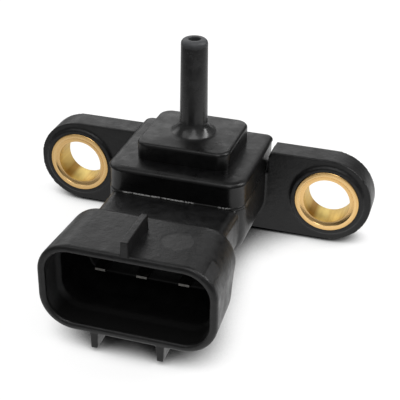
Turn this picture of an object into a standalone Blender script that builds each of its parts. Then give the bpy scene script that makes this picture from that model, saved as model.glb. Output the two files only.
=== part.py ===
"""Manifold absolute pressure sensor: plug socket, bolt ears with bushes, bonded cover with a hose port.

X runs along the bolt ears, the plug socket opens towards -Y and the hose port points along +Z.
The origin is the middle of the part's footprint, level with the feet of the socket's guard ribs.
Sizes are in metres. Depths along Y are first counted from the hose port's axis.
"""

import math

import bmesh
import bpy

MM = 0.001

# Fits and gaps
JOINT_GAP = 0.3 * MM            # cover to case, all round
BOND_GAP = 0.1 * MM             # glued or welded small pieces
BUSH_FIT = 0.05 * MM            # bush in its ear
BLADE_FIT = 0.1 * MM            # blade in the wall that is moulded round it

# Plug socket
SOCKET_WIDTH = 24.3 * MM
SOCKET_HEIGHT = 12.9 * MM
SOCKET_TOP_CORNER = 4.6 * MM
SOCKET_FOOT_CORNER = 4.8 * MM
SOCKET_WALL = 1.1 * MM
SOCKET_REACH = 27.9 * MM        # rim to port axis
SOCKET_BARREL = 7.5 * MM        # rim to where the well starts to narrow
SOCKET_TAPER = 0.45 * MM        # how much each side comes in from the rim to the shoulder
SOCKET_DEPTH = 10.9 * MM
SOCKET_DRAFT = 1.0 * MM         # how much the socket narrows towards its floor
RIM_ROUND = 0.35 * MM
MOUTH_DEPTH = 3.4 * MM
MOUTH_STEP = 0.5 * MM
MOUTH_CHAMFER = 0.25 * MM
SHOULDER_SETBACK = 9.6 * MM     # rim to the rounded shoulder on top
SHOULDER_LENGTH = 1.9 * MM
RAMP_SETBACK = 7.4 * MM         # rim to the long ramp underneath
RAMP_LENGTH = 7.1 * MM
RAMP_BULGE = 1.5                # 1 for a straight ramp, more for a rounder one
SHOULDER_SPLIT = 4.0 * MM       # height over which the shoulder turns into the ramp

# Ribs and lug round the socket
KEY_RIB_WIDTH = 1.05 * MM
KEY_RIB_HEIGHT = 2.0 * MM
GUARD_RIB_WIDTH = 1.05 * MM
GUARD_RIB_HEIGHT = 2.25 * MM
GUARD_RIB_SPACING = 9.1 * MM
RIB_LENGTH = 7.4 * MM           # at the root, which stops short of the ramp and the shoulder
RIB_SETBACK = 0.1 * MM
RIB_ROOT = 0.6 * MM             # how far a rib is sunk into the wall that carries it
RIB_DRAFT = 0.12 * MM
LUG_WIDTH = 4.2 * MM
LUG_HEIGHT = 1.1 * MM
LUG_SETBACK = 3.2 * MM
LUG_LENGTH = 3.0 * MM
LUG_RAMP = 2.0 * MM
LUG_NOSE = 0.15 * MM            # height of the lug where its ramp starts
MARK_RADIUS = 2.1 * MM
MARK_DEPTH = 0.08 * MM
MARK_OFFSET = 5.0 * MM
MARK_SETBACK = 5.6 * MM

# Neck and body of the case; heights of the neck are counted from the socket's axis
NECK_RISE = 4.55 * MM
NECK_DROP = 4.75 * MM
NECK_TOP_ROUND = 2.5 * MM
NECK_FOOT_ROUND = 4.0 * MM
CASE_WIDTH = 20.2 * MM
CASE_FRONT = 9.55 * MM
CASE_BACK = 8.25 * MM
CASE_FRONT_CORNER = 2.7 * MM
CASE_BACK_CORNER = 1.2 * MM
SEAM_RISE = 4.65 * MM           # seam above the socket's axis
CAVITY_WIDTH = 14.0 * MM
CAVITY_FRONT = 6.6 * MM
CAVITY_BACK = 5.0 * MM
CAVITY_CORNER = 0.8 * MM
CAVITY_DEPTH = 6.2 * MM
GROOVE_INSET = 0.95 * MM
GROOVE_WIDTH = 1.3 * MM
GROOVE_DEPTH = 1.5 * MM

# Bolt ears and bushes
HOLE_SPACING = 39.0 * MM
EAR_RADIUS = 6.45 * MM
EAR_RISE = 1.3 * MM             # bolt axis above the socket's axis
EAR_THICKNESS = 4.25 * MM
EAR_BACK = 7.2 * MM
BOSS_RADIUS = 5.5 * MM
BOSS_HEIGHT = 0.35 * MM
BOSS_ROUND = 0.3 * MM
NOTCH_WIDTH = 0.35 * MM
NOTCH_DEPTH = 1.7 * MM
BUSH_RADIUS = 4.75 * MM
BUSH_BORE = 3.4 * MM
BUSH_PROUD = 0.1 * MM
BUSH_LEAD = 0.6 * MM
BUSH_EDGE = 0.15 * MM
BUSH_GROOVE_WIDTH = 1.2 * MM
BUSH_GROOVE_DEPTH = 0.3 * MM

# Port cover
COVER_HEIGHT = 3.8 * MM
COVER_POCKET = 1.6 * MM
LIP_HEIGHT = 0.7 * MM
LIP_OVERHANG = 0.15 * MM
LIP_ROUND = 0.45 * MM
TONGUE_LENGTH = 1.0 * MM
STEP_WIDTH = 13.6 * MM
STEP_DEPTH = 12.4 * MM
STEP_HEIGHT = 2.55 * MM
STEP_CORNER = 1.9 * MM
STEP_ROUND = 0.5 * MM
FOOT_RADIUS = 3.35 * MM
FOOT_HEIGHT = 1.45 * MM
FOOT_HOLLOW = 1.3               # 1 for a straight cone, more for a hollow one
PORT_ROOT_RADIUS = 2.0 * MM
PORT_TIP_RADIUS = 1.88 * MM
PORT_LENGTH = 14.0 * MM
PORT_ROUND = 0.85 * MM
PORT_BORE = 0.85 * MM
PORT_BORE_LEAD = 0.1 * MM

# Terminals
BLADE_WIDTH = 1.6 * MM
BLADE_THICKNESS = 0.64 * MM
BLADE_PITCH = 5.85 * MM
BLADE_DROP = 0.35 * MM          # blades below the socket's axis
BLADE_RECESS = 6.0 * MM         # rim to blade tips
BLADE_TIP = 0.7 * MM
BLADE_TIP_THICKNESS = 0.34 * MM
BLADE_TIP_WIDTH = 1.45 * MM
JOG_START = 3.0 * MM            # behind the socket's floor
JOG_LENGTH = 3.2 * MM
PAD_WIDTH = 1.3 * MM
PAD_PITCH = 2.7 * MM
PAD_LENGTH = 2.9 * MM           # inside the cavity

# Chip carrier and pressure element
CARRIER_WIDTH = 9.0 * MM
CARRIER_DEPTH = 6.6 * MM
CARRIER_RIM = 2.2 * MM          # carrier wall above its floor
CARRIER_WALL = 1.1 * MM
CARRIER_CORNER = 0.6 * MM
CARRIER_SETBACK = 0.4 * MM      # carrier to the cavity's back wall
BOND_THICKNESS = 0.3 * MM
BOND_MARGIN = 0.8 * MM
LEAD_WIDTH = 0.9 * MM
LEAD_THICKNESS = 0.2 * MM
LEAD_OVERLAP = 1.1 * MM         # lead over its pad
LEAD_REACH = 0.9 * MM           # lead inside the carrier's well
PEDESTAL_SIDE = 2.2 * MM
PEDESTAL_HEIGHT = 0.8 * MM
DIE_SIDE = 1.9 * MM
DIE_HEIGHT = 0.4 * MM
DIE_POCKET = 1.1 * MM
DIE_DIAPHRAGM = 0.08 * MM
ETCH_ANGLE = math.radians(54.7)    # flanks of a pocket etched into silicon
ELEMENT_OFFSET = 0.5 * MM       # element behind the well's middle
WIRE_RADIUS = 0.03 * MM
WIRE_RISE = 0.35 * MM
WIRE_PITCH = 0.55 * MM          # on the die
WIRE_LANDING = 0.3 * MM         # end of a lead to the wire on it
CHIP_GAP = 0.3 * MM             # between the two chips on the middle pad
CHIP_WIDTH = 1.2 * MM
CHIP_HEIGHT = 0.8 * MM
CHIP_BAND = 0.5 * MM
CHIP_BAND_RELIEF = 0.05 * MM

# Facets
CORNER_STEPS = 11
RING_COUNT = 4 * (CORNER_STEPS + 1)
FINE_COUNT = 24
ROUND_STEPS = 3
SHOULDER_STEPS = 6
RAMP_STEPS = 3
BACK_STEPS = 4                   # rounded rear edge of the case
INNER_STEPS = 3                  # corners of the inner spaces and the carrier
WIRE_STEPS = 9
FLARE_STEPS = 6

# Places worked out from the sizes
PORT_Y = (SOCKET_REACH - CASE_BACK) / 2
AXIS_Z = GUARD_RIB_HEIGHT + SOCKET_HEIGHT / 2
BLADE_Z = AXIS_Z - BLADE_DROP
RIM_Y = -SOCKET_REACH
SHOULDER_Y = RIM_Y + SHOULDER_SETBACK
RAMP_Y = RIM_Y + RAMP_SETBACK
FLOOR_Y = RIM_Y + SOCKET_DEPTH
EAR_Z = AXIS_Z + EAR_RISE
EAR_FRONT = EAR_BACK - EAR_THICKNESS + BOSS_HEIGHT
BOSS_FRONT = EAR_BACK - EAR_THICKNESS
SEAM_Z = AXIS_Z + SEAM_RISE
CASE_TOP = SEAM_Z - JOINT_GAP
CAVITY_FLOOR = CASE_TOP - CAVITY_DEPTH
SHELF_Z = BLADE_Z - BLADE_THICKNESS / 2 - BOND_GAP
PAD_TOP = BLADE_Z + BLADE_THICKNESS / 2
LID_Z = SEAM_Z + COVER_HEIGHT
STEP_Z = LID_Z + STEP_HEIGHT
LEAD_Z = PAD_TOP + BOND_GAP
CARRIER_BOTTOM = CAVITY_FLOOR + BOND_GAP + BOND_THICKNESS + BOND_GAP
WELL_Z = LEAD_Z - BOND_GAP
CARRIER_TOP = WELL_Z + CARRIER_RIM
CARRIER_BACK = CAVITY_BACK - CARRIER_SETBACK
CARRIER_FRONT = CARRIER_BACK - CARRIER_DEPTH
ELEMENT_Y = (CARRIER_FRONT + CARRIER_BACK) / 2 + ELEMENT_OFFSET
PEDESTAL_Z = WELL_Z + BOND_GAP
DIE_Z = PEDESTAL_Z + PEDESTAL_HEIGHT + BOND_GAP
PAD_END = -CAVITY_FRONT + PAD_LENGTH
LEAD_FRONT = PAD_END - LEAD_OVERLAP
LEAD_END = CARRIER_FRONT + CARRIER_WALL + LEAD_REACH
CHIP_LENGTH = PAD_PITCH - CHIP_GAP
TERMINALS = (("supply", -1), ("signal", 0), ("ground", 1))


def clear_scene():
    for item in list(bpy.data.objects):
        bpy.data.objects.remove(item, do_unlink=True)


def material(name, colour, roughness, metallic=0.0):
    made = bpy.data.materials.new(name)
    made.use_nodes = True
    shader = made.node_tree.nodes["Principled BSDF"]
    shader.inputs["Base Color"].default_value = (*colour, 1.0)
    shader.inputs["Roughness"].default_value = roughness
    shader.inputs["Metallic"].default_value = metallic
    made.diffuse_color = (*colour, 1.0)
    return made


def outline(low, high, radii, grow=0.0, steps=CORNER_STEPS):
    """Rounded rectangle, counter-clockwise from its right lower corner; radii in the same order."""
    left, bottom = low[0] - grow, low[1] - grow
    right, top = high[0] + grow, high[1] + grow
    smallest = 0.05 * MM
    sizes = [max(radius + grow, smallest) for radius in radii]
    centres = [
        (right - sizes[0], bottom + sizes[0]),
        (right - sizes[1], top - sizes[1]),
        (left + sizes[2], top - sizes[2]),
        (left + sizes[3], bottom + sizes[3]),
    ]
    points = []
    for corner, (centre, size) in enumerate(zip(centres, sizes)):
        for step in range(steps + 1):
            angle = math.radians(90 * (corner - 1 + step / steps))
            points.append((centre[0] + size * math.cos(angle), centre[1] + size * math.sin(angle)))
    return points


def circle(radius, centre=(0.0, 0.0), count=RING_COUNT):
    """Circle whose points match those of a rounded rectangle with as many points."""
    points = []
    for index in range(count):
        angle = math.radians(-90) + 2 * math.pi * (index + 0.5) / count
        points.append((centre[0] + radius * math.cos(angle), centre[1] + radius * math.sin(angle)))
    return points


def rectangle(centre, width, height):
    """Four corners, counter-clockwise."""
    half_w, half_h = width / 2, height / 2
    corners = ((half_w, -half_h), (half_w, half_h), (-half_w, half_h), (-half_w, -half_h))
    return [(centre[0] + x, centre[1] + z) for x, z in corners]


def flat(points, z):
    """Place an outline in a level plane."""
    return [(x, y, z) for x, y in points]


def upright(points, y):
    """Place an outline, given as x and height, in a plane across Y."""
    return [(x, y, z) for x, z in points]


def new_object(name, mesh_maker, look=None):
    mesh = bpy.data.meshes.new(name)
    shape = bmesh.new()
    mesh_maker(shape)
    bmesh.ops.recalc_face_normals(shape, faces=shape.faces)
    shape.to_mesh(mesh)
    shape.free()
    mesh.shade_smooth()
    mesh.set_sharp_from_angle(angle=math.radians(32))
    made = bpy.data.objects.new(name, mesh)
    bpy.context.scene.collection.objects.link(made)
    made.parent = PORT_FRAME
    if look:
        mesh.materials.append(look)
    return made


def skin(name, rings, look=None):
    """Solid through a list of rings with equally many points, closed by a flat cap at each end."""
    def build(shape):
        loops = [[shape.verts.new(point) for point in ring] for ring in rings]
        for first, second in zip(loops, loops[1:]):
            for index in range(len(first)):
                after = (index + 1) % len(first)
                shape.faces.new((first[index], first[after], second[after], second[index]))
        shape.faces.new(loops[0])
        shape.faces.new(loops[-1])
    return new_object(name, build, look)


def closed_ring(name, rings, look=None):
    """Solid whose last ring joins its first, such as a bush or a bead that runs all round."""
    def build(shape):
        loops = [[shape.verts.new(point) for point in ring] for ring in rings]
        for first, second in zip(loops, loops[1:] + loops[:1]):
            for index in range(len(first)):
                after = (index + 1) % len(first)
                shape.faces.new((first[index], first[after], second[after], second[index]))
    return new_object(name, build, look)


def combine(target, tool, operation):
    """Boolean with a helper solid, which then stays as a wire guide."""
    tool.hide_render = True
    tool.display_type = "WIRE"
    step = target.modifiers.new(tool.name, "BOOLEAN")
    step.operation = operation
    step.solver = "EXACT"
    step.object = tool


def add(target, tool):
    combine(target, tool, "UNION")


def cut(target, tool):
    combine(target, tool, "DIFFERENCE")


def quarter_round(size, steps=ROUND_STEPS):
    """Inset and travel pairs of a rounded edge, from the full section to its end face."""
    pairs = []
    for step in range(steps + 1):
        angle = math.radians(90 * step / steps)
        pairs.append((size * (1 - math.cos(angle)), size * math.sin(angle)))
    return pairs


def socket_outline(inset):
    half_w = SOCKET_WIDTH / 2
    half_h = SOCKET_HEIGHT / 2
    low = (-half_w, AXIS_Z - half_h)
    high = (half_w, AXIS_Z + half_h)
    radii = [SOCKET_FOOT_CORNER, SOCKET_TOP_CORNER, SOCKET_TOP_CORNER, SOCKET_FOOT_CORNER]
    return outline(low, high, radii, -inset)


def neck_outline(inset=0.0):
    half_w = CASE_WIDTH / 2
    low = (-half_w, AXIS_Z - NECK_DROP)
    high = (half_w, AXIS_Z + NECK_RISE)
    return outline(low, high, [NECK_FOOT_ROUND, NECK_TOP_ROUND, NECK_TOP_ROUND, NECK_FOOT_ROUND], -inset)


def case_outline(grow=0.0):
    half_w = CASE_WIDTH / 2
    radii = [CASE_FRONT_CORNER, CASE_BACK_CORNER, CASE_BACK_CORNER, CASE_FRONT_CORNER]
    return outline((-half_w, -CASE_FRONT), (half_w, CASE_BACK), radii, grow)


def cavity_outline(front):
    half_w = CAVITY_WIDTH / 2
    return outline((-half_w, front), (half_w, CAVITY_BACK), [CAVITY_CORNER] * 4, steps=INNER_STEPS)


def limited(value):
    return min(max(value, 0.0), 1.0)


def shoulder_section(y):
    """Section between socket and neck: a rounded shoulder on top, a long ramp underneath."""
    narrow = 1 - 2 * SOCKET_TAPER / SOCKET_WIDTH * limited((y - RIM_Y) / SHOULDER_SETBACK)
    section = []
    for (full_x, z), (neck_x, neck_z) in zip(socket_outline(0.0), neck_outline()):
        x = full_x * narrow
        upper = limited((z - AXIS_Z) / SHOULDER_SPLIT + 0.5)
        shoulder = limited((y - SHOULDER_Y) / SHOULDER_LENGTH)
        ramp = limited((y - RAMP_Y) / RAMP_LENGTH)
        share = upper * (1 - math.sqrt(1 - shoulder * shoulder)) + (1 - upper) * ramp ** RAMP_BULGE
        section.append((x + (neck_x - x) * share, z + (neck_z - z) * share))
    return section


def socket_and_neck(look):
    """Oval socket body that goes over into the neck and ends round at the back."""
    rings = []
    for inset, travel in reversed(quarter_round(RIM_ROUND)):
        rings.append(upright(socket_outline(inset), RIM_Y + RIM_ROUND - travel))
    shoulder_end = SHOULDER_Y + SHOULDER_LENGTH
    ramp_end = RAMP_Y + RAMP_LENGTH
    stations = [RAMP_Y, (RAMP_Y + SHOULDER_Y) / 2]
    for step in range(SHOULDER_STEPS + 1):
        angle = math.radians(90 * step / SHOULDER_STEPS)
        stations.append(SHOULDER_Y + SHOULDER_LENGTH * math.sin(angle))
    for step in range(1, RAMP_STEPS + 1):
        stations.append(shoulder_end + (ramp_end - shoulder_end) * step / RAMP_STEPS)
    rings.extend(upright(shoulder_section(y), y) for y in stations)
    for inset, travel in quarter_round(CASE_BACK_CORNER, BACK_STEPS):
        rings.append(upright(neck_outline(inset), CASE_BACK - CASE_BACK_CORNER + travel))
    return skin("connector_case", rings, look)


def case_body():
    """Square body with rounded corners that rises from the neck to the seam."""
    return skin("case_body", [flat(case_outline(), AXIS_Z), flat(case_outline(), CASE_TOP)])


def ear_bar():
    """Both ears in one bar with round ends."""
    reach = HOLE_SPACING / 2 + EAR_RADIUS
    section = outline((-reach, EAR_Z - EAR_RADIUS), (reach, EAR_Z + EAR_RADIUS), [EAR_RADIUS] * 4)
    return skin("ear_bar", [upright(section, EAR_FRONT), upright(section, EAR_BACK)])


def ear_boss(side):
    """Raised round pad that the bush sits in."""
    centre = (side * HOLE_SPACING / 2, EAR_Z)
    rings = [upright(circle(BOSS_RADIUS, centre), (EAR_FRONT + EAR_BACK) / 2)]
    for inset, travel in quarter_round(BOSS_ROUND):
        rings.append(upright(circle(BOSS_RADIUS - inset, centre), BOSS_FRONT + BOSS_ROUND - travel))
    return skin(f"boss_{side}", rings)


def bush_hole(side):
    centre = (side * HOLE_SPACING / 2, EAR_Z)
    section = circle(BUSH_RADIUS + BUSH_FIT, centre)
    return skin(f"bush_hole_{side}", [upright(section, BOSS_FRONT - MM), upright(section, EAR_BACK + MM)])


def rib(name, x, width, foot_z, top_z, setback, length):
    """Straight rib on the socket, thinner towards its free edge, with a sloping rear end."""
    front = RIM_Y + setback
    slope = abs(top_z - foot_z) / 2
    corners = [
        (x - width / 2 - RIB_DRAFT / 2, foot_z),
        (x + width / 2 + RIB_DRAFT / 2, foot_z),
        (x + width / 2 - RIB_DRAFT / 2, top_z),
        (x - width / 2 + RIB_DRAFT / 2, top_z),
    ]
    first = upright(corners, front)
    last = [(px, front + length - (slope if pz == top_z else 0.0), pz) for px, pz in corners]
    return skin(name, [first, last])


def lock_lug():
    """Catch for the plug's latch, between the guard ribs, with its ramp towards the rim."""
    root_z = GUARD_RIB_HEIGHT + RIB_ROOT
    low_z = GUARD_RIB_HEIGHT - LUG_HEIGHT
    front = RIM_Y + LUG_SETBACK
    side = [
        (front, root_z),
        (front, GUARD_RIB_HEIGHT - LUG_NOSE),
        (front + LUG_RAMP, low_z),
        (front + LUG_LENGTH, low_z),
        (front + LUG_LENGTH, root_z),
    ]
    rings = [[(x, y, z) for y, z in side] for x in (-LUG_WIDTH / 2, LUG_WIDTH / 2)]
    return skin("lock_lug", rings)


def moulding_mark():
    """Shallow round mark that an ejector pin leaves on the socket's top."""
    z = AXIS_Z + SOCKET_HEIGHT / 2
    spot = circle(MARK_RADIUS, (MARK_OFFSET, RIM_Y + MARK_SETBACK))
    return skin("moulding_mark", [flat(spot, z - MARK_DEPTH), flat(spot, z + MM)])


def socket_space():
    """Inside of the socket: chamfered mouth, step, then a drafted well down to the floor."""
    mouth = SOCKET_WALL
    well = SOCKET_WALL + MOUTH_STEP
    full_y = RIM_Y + SOCKET_BARREL
    rings = [
        upright(socket_outline(mouth - MOUTH_CHAMFER - MM), RIM_Y - MM),
        upright(socket_outline(mouth), RIM_Y + MOUTH_CHAMFER),
        upright(socket_outline(mouth), RIM_Y + MOUTH_DEPTH),
        upright(socket_outline(well), RIM_Y + MOUTH_DEPTH + MOUTH_CHAMFER),
        upright(socket_outline(well), full_y),
        upright(socket_outline(well + SOCKET_DRAFT), FLOOR_Y),
    ]
    return skin("socket_space", rings)


def cover_bay():
    """Room that the cover takes above the seam, with its joint gap."""
    section = case_outline(JOINT_GAP)
    return skin("cover_bay", [flat(section, CASE_TOP), flat(section, LID_Z + STEP_HEIGHT)])


def notch():
    """Gap at the right ear's root beside the cover."""
    inner = CASE_WIDTH / 2
    outer = inner + JOINT_GAP + NOTCH_WIDTH
    top = EAR_Z + EAR_RADIUS
    middle = ((inner + outer) / 2, top - NOTCH_DEPTH / 2 + MM / 2)
    section = rectangle(middle, outer - inner, NOTCH_DEPTH + MM)
    return skin("notch", [upright(section, EAR_FRONT - MM), upright(section, EAR_BACK + MM)])


def cavity(name, front, floor_z):
    section = cavity_outline(front)
    return skin(name, [flat(section, floor_z), flat(section, CASE_TOP + MM)])


def joint_band(name, margin, low_z, high_z, look=None):
    """Band that follows the joint groove, narrower than it by a margin on each side."""
    outer = case_outline(-GROOVE_INSET - margin)
    inner = case_outline(-GROOVE_INSET - GROOVE_WIDTH + margin)
    rings = [flat(outer, low_z), flat(outer, high_z), flat(inner, high_z), flat(inner, low_z)]
    return closed_ring(name, rings, look)


def blade_rings(side, grow, start_y):
    """Sections of a terminal from its tip, through the jog in the wall, to its pad in the cavity."""
    pin_x = side * BLADE_PITCH
    pad_x = side * PAD_PITCH
    jog_y = FLOOR_Y + JOG_START
    stations = []
    if start_y is None:
        tip_y = RIM_Y + BLADE_RECESS
        stations.append((tip_y, pin_x, BLADE_TIP_WIDTH, BLADE_TIP_THICKNESS))
        stations.append((tip_y + BLADE_TIP, pin_x, BLADE_WIDTH, BLADE_THICKNESS))
    else:
        stations.append((start_y, pin_x, BLADE_WIDTH, BLADE_THICKNESS))
    stations.append((jog_y, pin_x, BLADE_WIDTH, BLADE_THICKNESS))
    stations.append((jog_y + JOG_LENGTH, pad_x, PAD_WIDTH, BLADE_THICKNESS))
    stations.append((PAD_END + grow, pad_x, PAD_WIDTH, BLADE_THICKNESS))
    return [
        upright(rectangle((x, BLADE_Z), width + 2 * grow, thickness + 2 * grow), y)
        for y, x, width, thickness in stations
    ]


def connector_case(look):
    """The one-piece moulding: socket, neck, body and both ears."""
    case = socket_and_neck(look)
    add(case, case_body())
    add(case, ear_bar())
    for side in (-1, 1):
        add(case, ear_boss(side))
    socket_top = AXIS_Z + SOCKET_HEIGHT / 2
    add(case, rib("key_rib", 0.0, KEY_RIB_WIDTH, socket_top - RIB_ROOT, socket_top + KEY_RIB_HEIGHT,
                  RIB_SETBACK, RIB_LENGTH))
    for side in (-1, 1):
        add(case, rib(f"guard_rib_{side}", side * GUARD_RIB_SPACING / 2, GUARD_RIB_WIDTH,
                      GUARD_RIB_HEIGHT + RIB_ROOT, 0.0, RIB_SETBACK, RIB_LENGTH))
    add(case, lock_lug())
    cut(case, cover_bay())
    cut(case, notch())
    for side in (-1, 1):
        cut(case, bush_hole(side))
    cut(case, cavity("carrier_space", CARRIER_FRONT - CARRIER_SETBACK, CAVITY_FLOOR))
    cut(case, cavity("pad_space", -CAVITY_FRONT, SHELF_Z))
    cut(case, joint_band("joint_groove", 0.0, CASE_TOP - GROOVE_DEPTH, CASE_TOP + MM))
    cut(case, socket_space())
    for name, side in TERMINALS:
        cut(case, skin(f"{name}_channel", blade_rings(side, BLADE_FIT, FLOOR_Y - MM)))
    cut(case, moulding_mark())
    return case


def bush(name, side, look):
    """Turned brass bush with a lead chamfer in both ends of its bore and a grip groove outside."""
    front = BOSS_FRONT - BUSH_PROUD
    back = EAR_BACK + BUSH_PROUD
    middle = (front + back) / 2
    half_groove = BUSH_GROOVE_WIDTH / 2
    profile = [
        (BUSH_BORE, front + BUSH_LEAD),
        (BUSH_BORE + BUSH_LEAD, front),
        (BUSH_RADIUS - BUSH_EDGE, front),
        (BUSH_RADIUS, front + BUSH_EDGE),
        (BUSH_RADIUS, middle - half_groove),
        (BUSH_RADIUS - BUSH_GROOVE_DEPTH, middle - half_groove + BUSH_GROOVE_DEPTH),
        (BUSH_RADIUS - BUSH_GROOVE_DEPTH, middle + half_groove - BUSH_GROOVE_DEPTH),
        (BUSH_RADIUS, middle + half_groove),
        (BUSH_RADIUS, back - BUSH_EDGE),
        (BUSH_RADIUS - BUSH_EDGE, back),
        (BUSH_BORE + BUSH_LEAD, back),
        (BUSH_BORE, back - BUSH_LEAD),
    ]
    centre = (side * HOLE_SPACING / 2, EAR_Z)
    return closed_ring(name, [upright(circle(radius, centre), y) for radius, y in profile], look)


def step_outline(inset):
    half_w = STEP_WIDTH / 2
    half_d = STEP_DEPTH / 2
    return outline((-half_w, -half_d), (half_w, half_d), [STEP_CORNER] * 4, -inset)


def port_cover(look):
    """Lid with a lip, a raised step and the hose port, drawn as one stack of sections."""
    skirt = case_outline(-LIP_OVERHANG)
    rings = [flat(skirt, SEAM_Z), flat(skirt, LID_Z - LIP_HEIGHT)]
    rings.append(flat(case_outline(), LID_Z - LIP_HEIGHT))
    for inset, travel in quarter_round(LIP_ROUND):
        rings.append(flat(case_outline(-inset), LID_Z - LIP_ROUND + travel))
    rings.append(flat(step_outline(0.0), LID_Z))
    for inset, travel in quarter_round(STEP_ROUND):
        rings.append(flat(step_outline(inset), STEP_Z - STEP_ROUND + travel))
    for step in range(FLARE_STEPS + 1):
        share = step / FLARE_STEPS
        radius = PORT_ROOT_RADIUS + (FOOT_RADIUS - PORT_ROOT_RADIUS) * (1 - share) ** FOOT_HOLLOW
        rings.append(flat(circle(radius), STEP_Z + FOOT_HEIGHT * share))
    tip_z = STEP_Z + PORT_LENGTH
    for inset, travel in quarter_round(PORT_ROUND):
        rings.append(flat(circle(PORT_TIP_RADIUS - inset), tip_z - PORT_ROUND + travel))
    cover = skin("port_cover", rings, look)
    add(cover, joint_band("tongue", JOINT_GAP, SEAM_Z - TONGUE_LENGTH, SEAM_Z + LIP_HEIGHT))
    pocket = cavity_outline(-CAVITY_FRONT)
    cut(cover, skin("cover_pocket", [flat(pocket, SEAM_Z - MM), flat(pocket, SEAM_Z + COVER_POCKET)]))
    bore = [
        flat(circle(PORT_BORE, count=FINE_COUNT), SEAM_Z),
        flat(circle(PORT_BORE, count=FINE_COUNT), tip_z - PORT_BORE_LEAD),
        flat(circle(PORT_BORE + PORT_BORE_LEAD + MM, count=FINE_COUNT), tip_z + MM),
    ]
    cut(cover, skin("port_bore", bore))
    return cover


def chip_carrier(look):
    """Moulded cup for the pressure element, with a slot in its front wall for each lead."""
    half_w = CARRIER_WIDTH / 2
    low = (-half_w, CARRIER_FRONT)
    high = (half_w, CARRIER_BACK)
    body = outline(low, high, [CARRIER_CORNER] * 4, steps=INNER_STEPS)
    well = outline(low, high, [CARRIER_CORNER + CARRIER_WALL] * 4, -CARRIER_WALL, steps=INNER_STEPS)
    carrier = skin("sensor_package", [flat(body, CARRIER_BOTTOM), flat(body, CARRIER_TOP)], look)
    cut(carrier, skin("carrier_well", [flat(well, WELL_Z), flat(well, CARRIER_TOP + MM)]))
    for name, side in TERMINALS:
        middle = (side * PAD_PITCH, LEAD_Z + LEAD_THICKNESS / 2)
        section = rectangle(middle, LEAD_WIDTH + 2 * BOND_GAP, LEAD_THICKNESS + 2 * BOND_GAP)
        inner_y = CARRIER_FRONT + CARRIER_WALL + BOND_GAP
        cut(carrier, skin(f"{name}_slot", [upright(section, CARRIER_FRONT - MM), upright(section, inner_y)]))
    return carrier


def block(name, centre, width, depth, low_z, high_z, look):
    section = rectangle(centre, width, depth)
    return skin(name, [flat(section, low_z), flat(section, high_z)], look)


def package_bond(look):
    """Glue pad between the carrier and the cavity's floor."""
    middle = (0.0, (CARRIER_FRONT + CARRIER_BACK) / 2)
    low_z = CAVITY_FLOOR + BOND_GAP
    width = CARRIER_WIDTH - 2 * BOND_MARGIN
    depth = CARRIER_DEPTH - 2 * BOND_MARGIN
    return block("package_bond", middle, width, depth, low_z, low_z + BOND_THICKNESS, look)


def pressure_die(look):
    """Silicon die whose back is etched to a thin diaphragm over the pedestal."""
    top = DIE_Z + DIE_HEIGHT
    die = block("silicon_die", (0.0, ELEMENT_Y), DIE_SIDE, DIE_SIDE, DIE_Z, top, look)
    roof = top - DIE_DIAPHRAGM
    taper = 2 * (roof - DIE_Z) / math.tan(ETCH_ANGLE)
    wide = DIE_POCKET + taper * MM / (roof - DIE_Z)
    rings = [
        flat(rectangle((0.0, ELEMENT_Y), wide, wide), DIE_Z - MM),
        flat(rectangle((0.0, ELEMENT_Y), DIE_POCKET - taper, DIE_POCKET - taper), roof),
    ]
    cut(die, skin("etched_pocket", rings))
    return die


def lead(name, side, look):
    """Flat strip from a terminal's pad, through the carrier's wall, into the well."""
    section = rectangle((side * PAD_PITCH, LEAD_Z + LEAD_THICKNESS / 2), LEAD_WIDTH, LEAD_THICKNESS)
    return skin(f"{name}_lead", [upright(section, LEAD_FRONT), upright(section, LEAD_END)], look)


def bond_wire(name, side, look):
    """Fine looped wire from a lead's end to the die's top."""
    start = (side * PAD_PITCH, LEAD_END - WIRE_LANDING, LEAD_Z + LEAD_THICKNESS + BOND_GAP / 2 + WIRE_RADIUS)
    end_y = ELEMENT_Y - DIE_SIDE / 2 + WIRE_PITCH / 2
    end = (side * WIRE_PITCH, end_y, DIE_Z + DIE_HEIGHT + BOND_GAP / 2 + WIRE_RADIUS)
    curve = bpy.data.curves.new(f"{name}_wire", "CURVE")
    curve.dimensions = "3D"
    curve.bevel_depth = WIRE_RADIUS
    curve.bevel_resolution = 1
    curve.use_fill_caps = True
    spline = curve.splines.new("POLY")
    spline.points.add(WIRE_STEPS)
    for index in range(WIRE_STEPS + 1):
        share = index / WIRE_STEPS
        x, y, z = (a + (b - a) * share for a, b in zip(start, end))
        loop = WIRE_RISE * math.sin(math.pi * share)
        spline.points[index].co = (x, y, z + loop, 1.0)
    curve.materials.append(look)
    made = bpy.data.objects.new(f"{name}_wire", curve)
    bpy.context.scene.collection.objects.link(made)
    made.parent = PORT_FRAME
    return made


def chip_capacitor(name, side, look):
    """Chip capacitor across two neighbouring pads, with slightly raised end bands."""
    centre_x = side * PAD_PITCH / 2
    y = (-CAVITY_FRONT + LEAD_FRONT) / 2
    z = PAD_TOP + BOND_GAP + CHIP_HEIGHT / 2
    half = CHIP_LENGTH / 2
    relief = 2 * CHIP_BAND_RELIEF
    stations = [
        (-half, 0.0), (-half + CHIP_BAND, 0.0), (-half + CHIP_BAND, relief),
        (half - CHIP_BAND, relief), (half - CHIP_BAND, 0.0), (half, 0.0),
    ]
    rings = []
    for offset, less in stations:
        section = rectangle((y, z), CHIP_WIDTH - less, CHIP_HEIGHT - less)
        rings.append([(centre_x + offset, py, pz) for py, pz in section])
    return skin(f"{name}_capacitor", rings, look)


clear_scene()
PORT_FRAME = bpy.data.objects.new("port_frame", None)
bpy.context.scene.collection.objects.link(PORT_FRAME)
PORT_FRAME.location = (0.0, PORT_Y, 0.0)

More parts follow.
